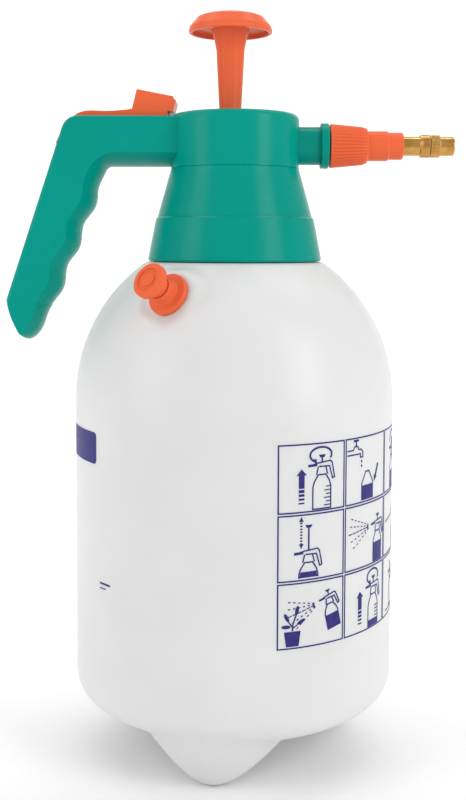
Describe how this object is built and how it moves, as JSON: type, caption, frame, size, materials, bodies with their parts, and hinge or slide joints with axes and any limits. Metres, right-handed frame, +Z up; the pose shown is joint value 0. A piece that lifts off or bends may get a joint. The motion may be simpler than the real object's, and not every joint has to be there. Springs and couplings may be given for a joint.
{
  "type": "pump sprayer",
  "caption": "Hand-pumped pressure sprayer with a white domed tank, green pistol-grip head, orange plunger knob and trigger, and a brass adjustable nozzle.",
  "frame": {"origin": "on the bottle's axis at the level of its three feet", "axes": "+Z up along the bottle's axis, +X towards the nozzle, -Y towards the label"},
  "size_m": [0.1857, 0.1372, 0.3115],
  "materials": {
    "tank_plastic": "satin",
    "green_plastic": "gloss",
    "orange_plastic": "gloss",
    "brass": "satin",
    "inner_plastic": "satin",
    "seal_rubber": "matte",
    "spring_steel": "satin"
  },
  "bodies": {
    "bottle": {"bottle": "tank_plastic", "relief_valve_seat": "orange_plastic", "relief_retaining_ring": "inner_plastic", "relief_valve_spring": "spring_steel"},
    "head": {"neck_gasket": "seal_rubber", "head_housing": "green_plastic", "pump_cylinder": "inner_plastic", "rod_guide": "inner_plastic", "check_valve_flap": "seal_rubber", "dip_tube": "inner_plastic", "dip_strainer": "inner_plastic", "valve_body": "inner_plastic", "valve_spring": "spring_steel", "outlet_pipe": "inner_plastic", "trigger_pin": "spring_steel", "nozzle_washer": "seal_rubber", "nozzle_lance": "brass", "nozzle_o_ring": "seal_rubber", "swirl_core": "brass"},
    "relief_valve": {"relief_valve_knob": "orange_plastic", "relief_valve_seal": "seal_rubber"},
    "collar": {"screw_collar": "green_plastic"},
    "trigger": {"trigger_lever": "orange_plastic"},
    "valve_pin": {"valve_pin": "brass", "valve_seal": "seal_rubber"},
    "plunger": {"plunger_knob": "orange_plastic", "plunger_rod": "inner_plastic", "piston": "inner_plastic", "piston_seal": "seal_rubber"},
    "nozzle_nut": {"nozzle_sleeve": "orange_plastic"},
    "spray_cap": {"spray_cap": "brass"}
  },
  "joints": [
    {"name": "head_lift", "type": "slide", "parent": "bottle", "child": "head", "axis": [0, 0, 1], "range_m": [0, 0.23]},
    {"name": "collar_turn", "type": "hinge", "parent": "head", "child": "collar", "pos_m": [0, 0, 0.22], "axis": [0, 0, 1], "continuous": true},
    {"name": "plunger_stroke", "type": "slide", "parent": "head", "child": "plunger", "axis": [0, 0, 1], "range_m": [0, 0.1]},
    {"name": "trigger_press", "type": "hinge", "parent": "head", "child": "trigger", "pos_m": [-0.047, 0, 0.2645], "axis": [0, -1, 0], "range_deg": [0, 12], "stiffness_Nm_per_rad": 0.3, "springref_deg": -5.73},
    {"name": "valve_pin_slide", "type": "slide", "parent": "head", "child": "valve_pin", "axis": [1, 0, 0], "range_m": [0, 0.0013], "deforming": ["valve_spring"]},
    {"name": "nozzle_nut_turn", "type": "hinge", "parent": "head", "child": "nozzle_nut", "pos_m": [0.05, 0, 0.2584], "axis": [1, 0, 0], "continuous": true},
    {"name": "spray_cap_turn", "type": "hinge", "parent": "head", "child": "spray_cap", "pos_m": [0.085, 0, 0.2584], "axis": [1, 0, 0], "range_deg": [0, 360]},
    {"name": "relief_pull", "type": "slide", "parent": "bottle", "child": "relief_valve", "axis": [-0.5436, -0.6958, 0.4695], "range_m": [0, 0.003], "stiffness_N_per_m": 600, "springref_m": -0.002, "deforming": ["relief_valve_spring"]}
  ],
  "couplings": [
    {"joint": "valve_pin_slide", "follows": "trigger_press", "m_per_rad": 0.0058}
  ]
}
